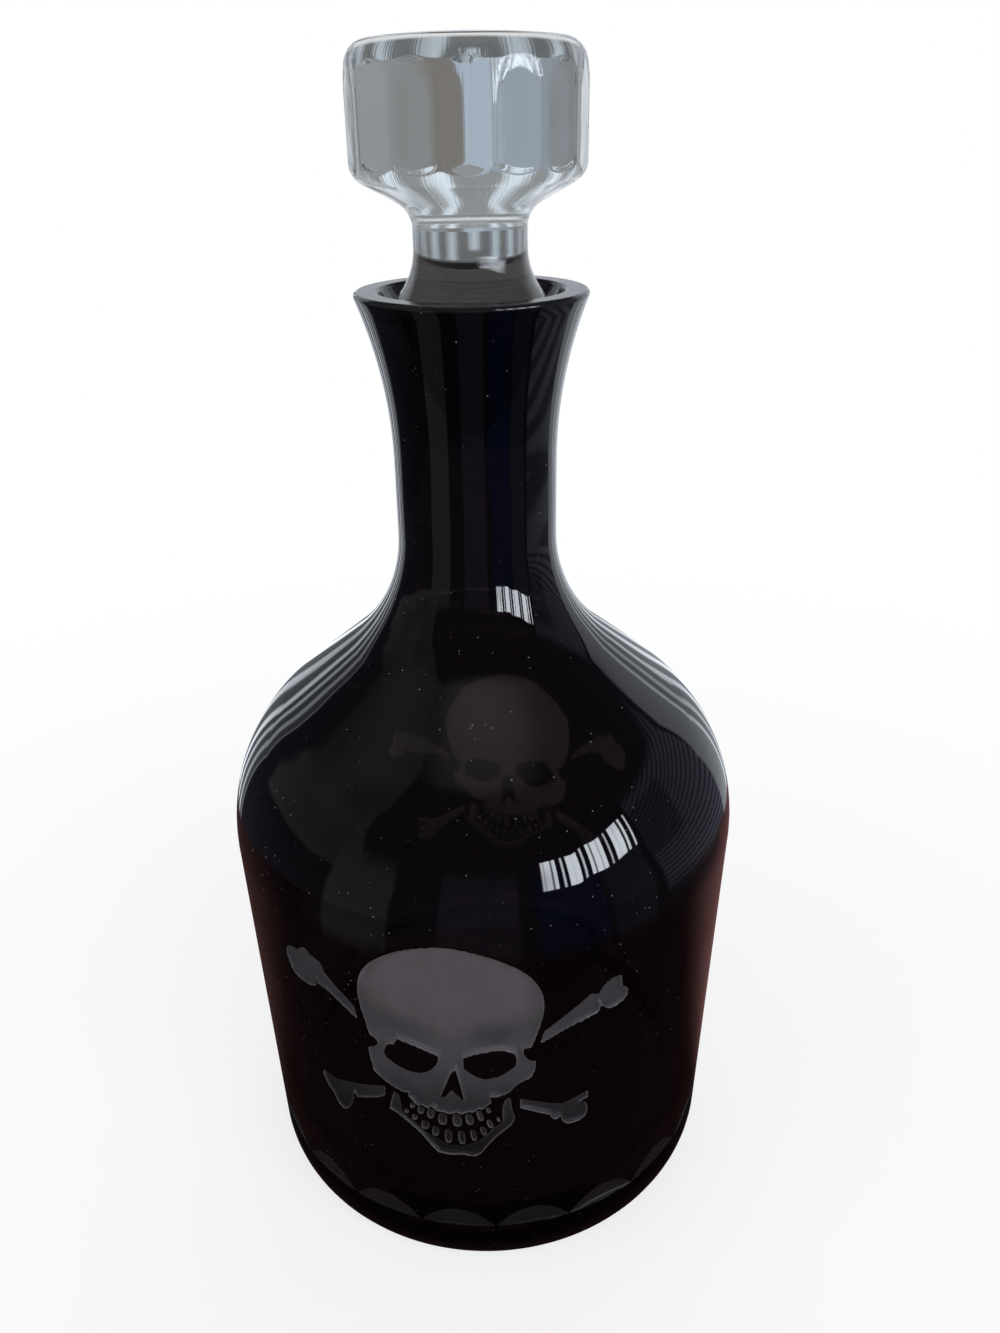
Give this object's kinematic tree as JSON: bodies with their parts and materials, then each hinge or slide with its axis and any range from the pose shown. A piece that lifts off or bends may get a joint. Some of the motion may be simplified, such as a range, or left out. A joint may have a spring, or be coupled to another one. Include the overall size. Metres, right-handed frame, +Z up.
{
  "type": "skull decanter",
  "caption": "Round-shouldered black glass bottle with a skull and crossed bones sunk into its front and back, and a facetted lift-out clear glass stopper in a ground neck.",
  "frame": {"origin": "centre of the foot, on the surface that the decanter stands on", "axes": "+Z up along the bottle's axis; the middle of the front figure faces -Y and the middle of the back figure faces +Y"},
  "size_m": [0.1106, 0.1102, 0.2414],
  "materials": {
    "black_glass": "polished, with the figure's floor matt grey",
    "clear_glass": "polished, with a ground matt plug"
  },
  "bodies": {
    "vessel": {"decanter_body": "black_glass"},
    "stopper": {"stopper": "clear_glass"}
  },
  "joints": [
    {"name": "stopper_lift", "type": "slide", "parent": "vessel", "child": "stopper", "axis": [0, 0, 1], "range_m": [0, 0.03]}
  ]
}
